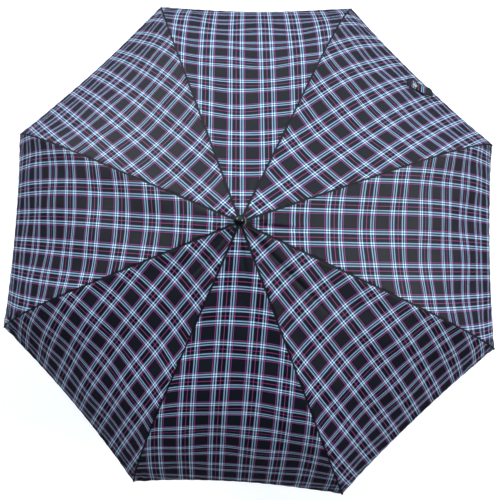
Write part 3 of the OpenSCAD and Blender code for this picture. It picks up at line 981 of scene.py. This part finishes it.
def paint_nodes():
    """Materials for the CAD nodes that show, and the small pieces that stand for others."""
    made = {name: solid_material(name, *finish, **POLISH.get(name, {}))
            for name, finish in FINISHES.items()}
    cloth = strap_material()
    for name, nodes in PAINTED.items():
        paint(made[name], nodes)
    build_crown(made["ferrule_plastic"], made["washer_plastic"], made["plain_cloth"])
    build_strap(cloth)
    build_stud(made["stud_metal"])
    build_ties(made["plain_cloth"])


# ---- floor, light and camera ----------------------------------------------------------------

def glowing(material, strength):
    shader = material.node_tree.nodes["Principled BSDF"]
    shader.inputs["Emission Color"].default_value = WHITE
    shader.inputs["Emission Strength"].default_value = strength
    return material


# The floor lies this far under the object
FLOOR_GAP = 0.001


def build_floor():
    """A pale floor, and a pale wall round it that lights nothing."""
    size, wall, wall_t = 7.0, 6.0, 0.1
    floor_glow, wall_glow = 0.35, 0.9
    z = CAD_BOX[0][2] - FLOOR_GAP
    paper = solid_material("floor_paper", (0.88, 0.88, 0.88), 0.8, 0.0, 60, 0.0001, 0.01)
    floor = add_object("floor", [(-size, -size, z), (size, -size, z), (size, size, z),
                                 (-size, size, z)], [(0, 1, 2, 3)], glowing(paper, floor_glow))
    floor.visible_glossy = False
    drape = solid_material("backdrop_paper", (0.05, 0.05, 0.05), 0.9, 0.0, 60, 0.0001, 0.01)
    outside = wall + wall_t
    profile = [(wall, z), (wall, z + wall), (outside, z + wall), (outside, z)]
    backdrop = lathe("backdrop", profile, glowing(drape, wall_glow), 96)
    backdrop.visible_diffuse = False
    backdrop.visible_glossy = False
    backdrop.visible_shadow = False


# The studio is a bright half and a dim half that fade into each other: the way to the middle
# of the bright half, the radiance of each, and the middle and half the width of the fade,
# both as cosines. Below the horizon it is even and dim.
SKY_TURN, SKY_RISE = math.radians(84), math.radians(4)
SKY_BRIGHT, SKY_DIM, SKY_EDGE, SKY_FADE = 1.7, 0.04, 0.2, 0.32
SKY_COLOUR = rgb(0.84, 0.92, 1.0)
GROUND_GLOW = 0.07
HORIZON = (-0.06, 0.08)
# Place from the notch, diameter and power of each lamp
LAMPS = {"key": ((-1.2, 1.05, 1.2), 0.5, 19), "fill": ((1.65, 0.1, 1.25), 0.6, 22)}


def add_lamp(name, place, size, energy):
    """A round soft box that looks at the crown."""
    light = bpy.data.lights.new(name, "AREA")
    light.shape = "DISK"
    light.size = size
    light.energy = energy
    lamp = bpy.data.objects.new(name, light)
    lamp.location = Vector(place) + Vector((0, 0, NOTCH_Z))
    aim = Vector((0, 0, NOTCH_Z)) - lamp.location
    lamp.rotation_euler = aim.to_track_quat("-Z", "Y").to_euler()
    lamp.visible_camera = False
    bpy.context.scene.collection.objects.link(lamp)


def build_lamps():
    for name, lamp in LAMPS.items():
        add_lamp(name, *lamp)


def build_light():
    world = bpy.data.worlds.new("studio")
    world.use_nodes = True
    nodes, links = world.node_tree.nodes, world.node_tree.links
    way = Vector((math.cos(SKY_RISE) * math.cos(SKY_TURN),
                  math.cos(SKY_RISE) * math.sin(SKY_TURN), math.sin(SKY_RISE)))
    place = nodes.new("ShaderNodeTexCoord")
    dot = nodes.new("ShaderNodeVectorMath")
    dot.operation = "DOT_PRODUCT"
    dot.inputs[1].default_value = way
    links.new(place.outputs["Generated"], dot.inputs[0])
    fade = nodes.new("ShaderNodeMapRange")
    fade.interpolation_type = "SMOOTHSTEP"
    fade.inputs["From Min"].default_value = SKY_EDGE - SKY_FADE
    fade.inputs["From Max"].default_value = SKY_EDGE + SKY_FADE
    fade.inputs["To Min"].default_value = SKY_DIM
    fade.inputs["To Max"].default_value = SKY_BRIGHT
    links.new(dot.outputs["Value"], fade.inputs["Value"])
    parts = nodes.new("ShaderNodeSeparateXYZ")
    links.new(place.outputs["Generated"], parts.inputs[0])
    above = nodes.new("ShaderNodeMapRange")
    above.inputs["From Min"].default_value = HORIZON[0]
    above.inputs["From Max"].default_value = HORIZON[1]
    links.new(parts.outputs["Z"], above.inputs["Value"])
    both = nodes.new("ShaderNodeMix")
    both.inputs[2].default_value = GROUND_GLOW
    links.new(above.outputs["Result"], both.inputs[0])
    links.new(fade.outputs["Result"], both.inputs[3])
    background = nodes["Background"]
    background.inputs["Color"].default_value = SKY_COLOUR
    links.new(both.outputs[0], background.inputs["Strength"])
    bpy.context.scene.world = world
    bpy.context.scene.view_settings.view_transform = "Standard"


# The camera's place from the notch, its turn, and its lens in mm
CAMERA_PLACE = (0.0380, -0.0799, 0.5416)
CAMERA_TURN = (math.radians(4.160), math.radians(2.138), math.radians(2.153))
CAMERA_LENS = 25.98


def build_camera():
    data = bpy.data.cameras.new("camera")
    data.sensor_width = 36.0
    data.lens = CAMERA_LENS
    data.clip_start = 0.01
    camera = bpy.data.objects.new("camera", data)
    camera.location = Vector(CAMERA_PLACE) + Vector((0, 0, NOTCH_Z))
    camera.rotation_euler = Euler(CAMERA_TURN, "XYZ")
    bpy.context.scene.collection.objects.link(camera)
    bpy.context.scene.camera = camera


build_camera()
build_canopy()
paint_nodes()
build_floor()
build_light()
build_lamps()
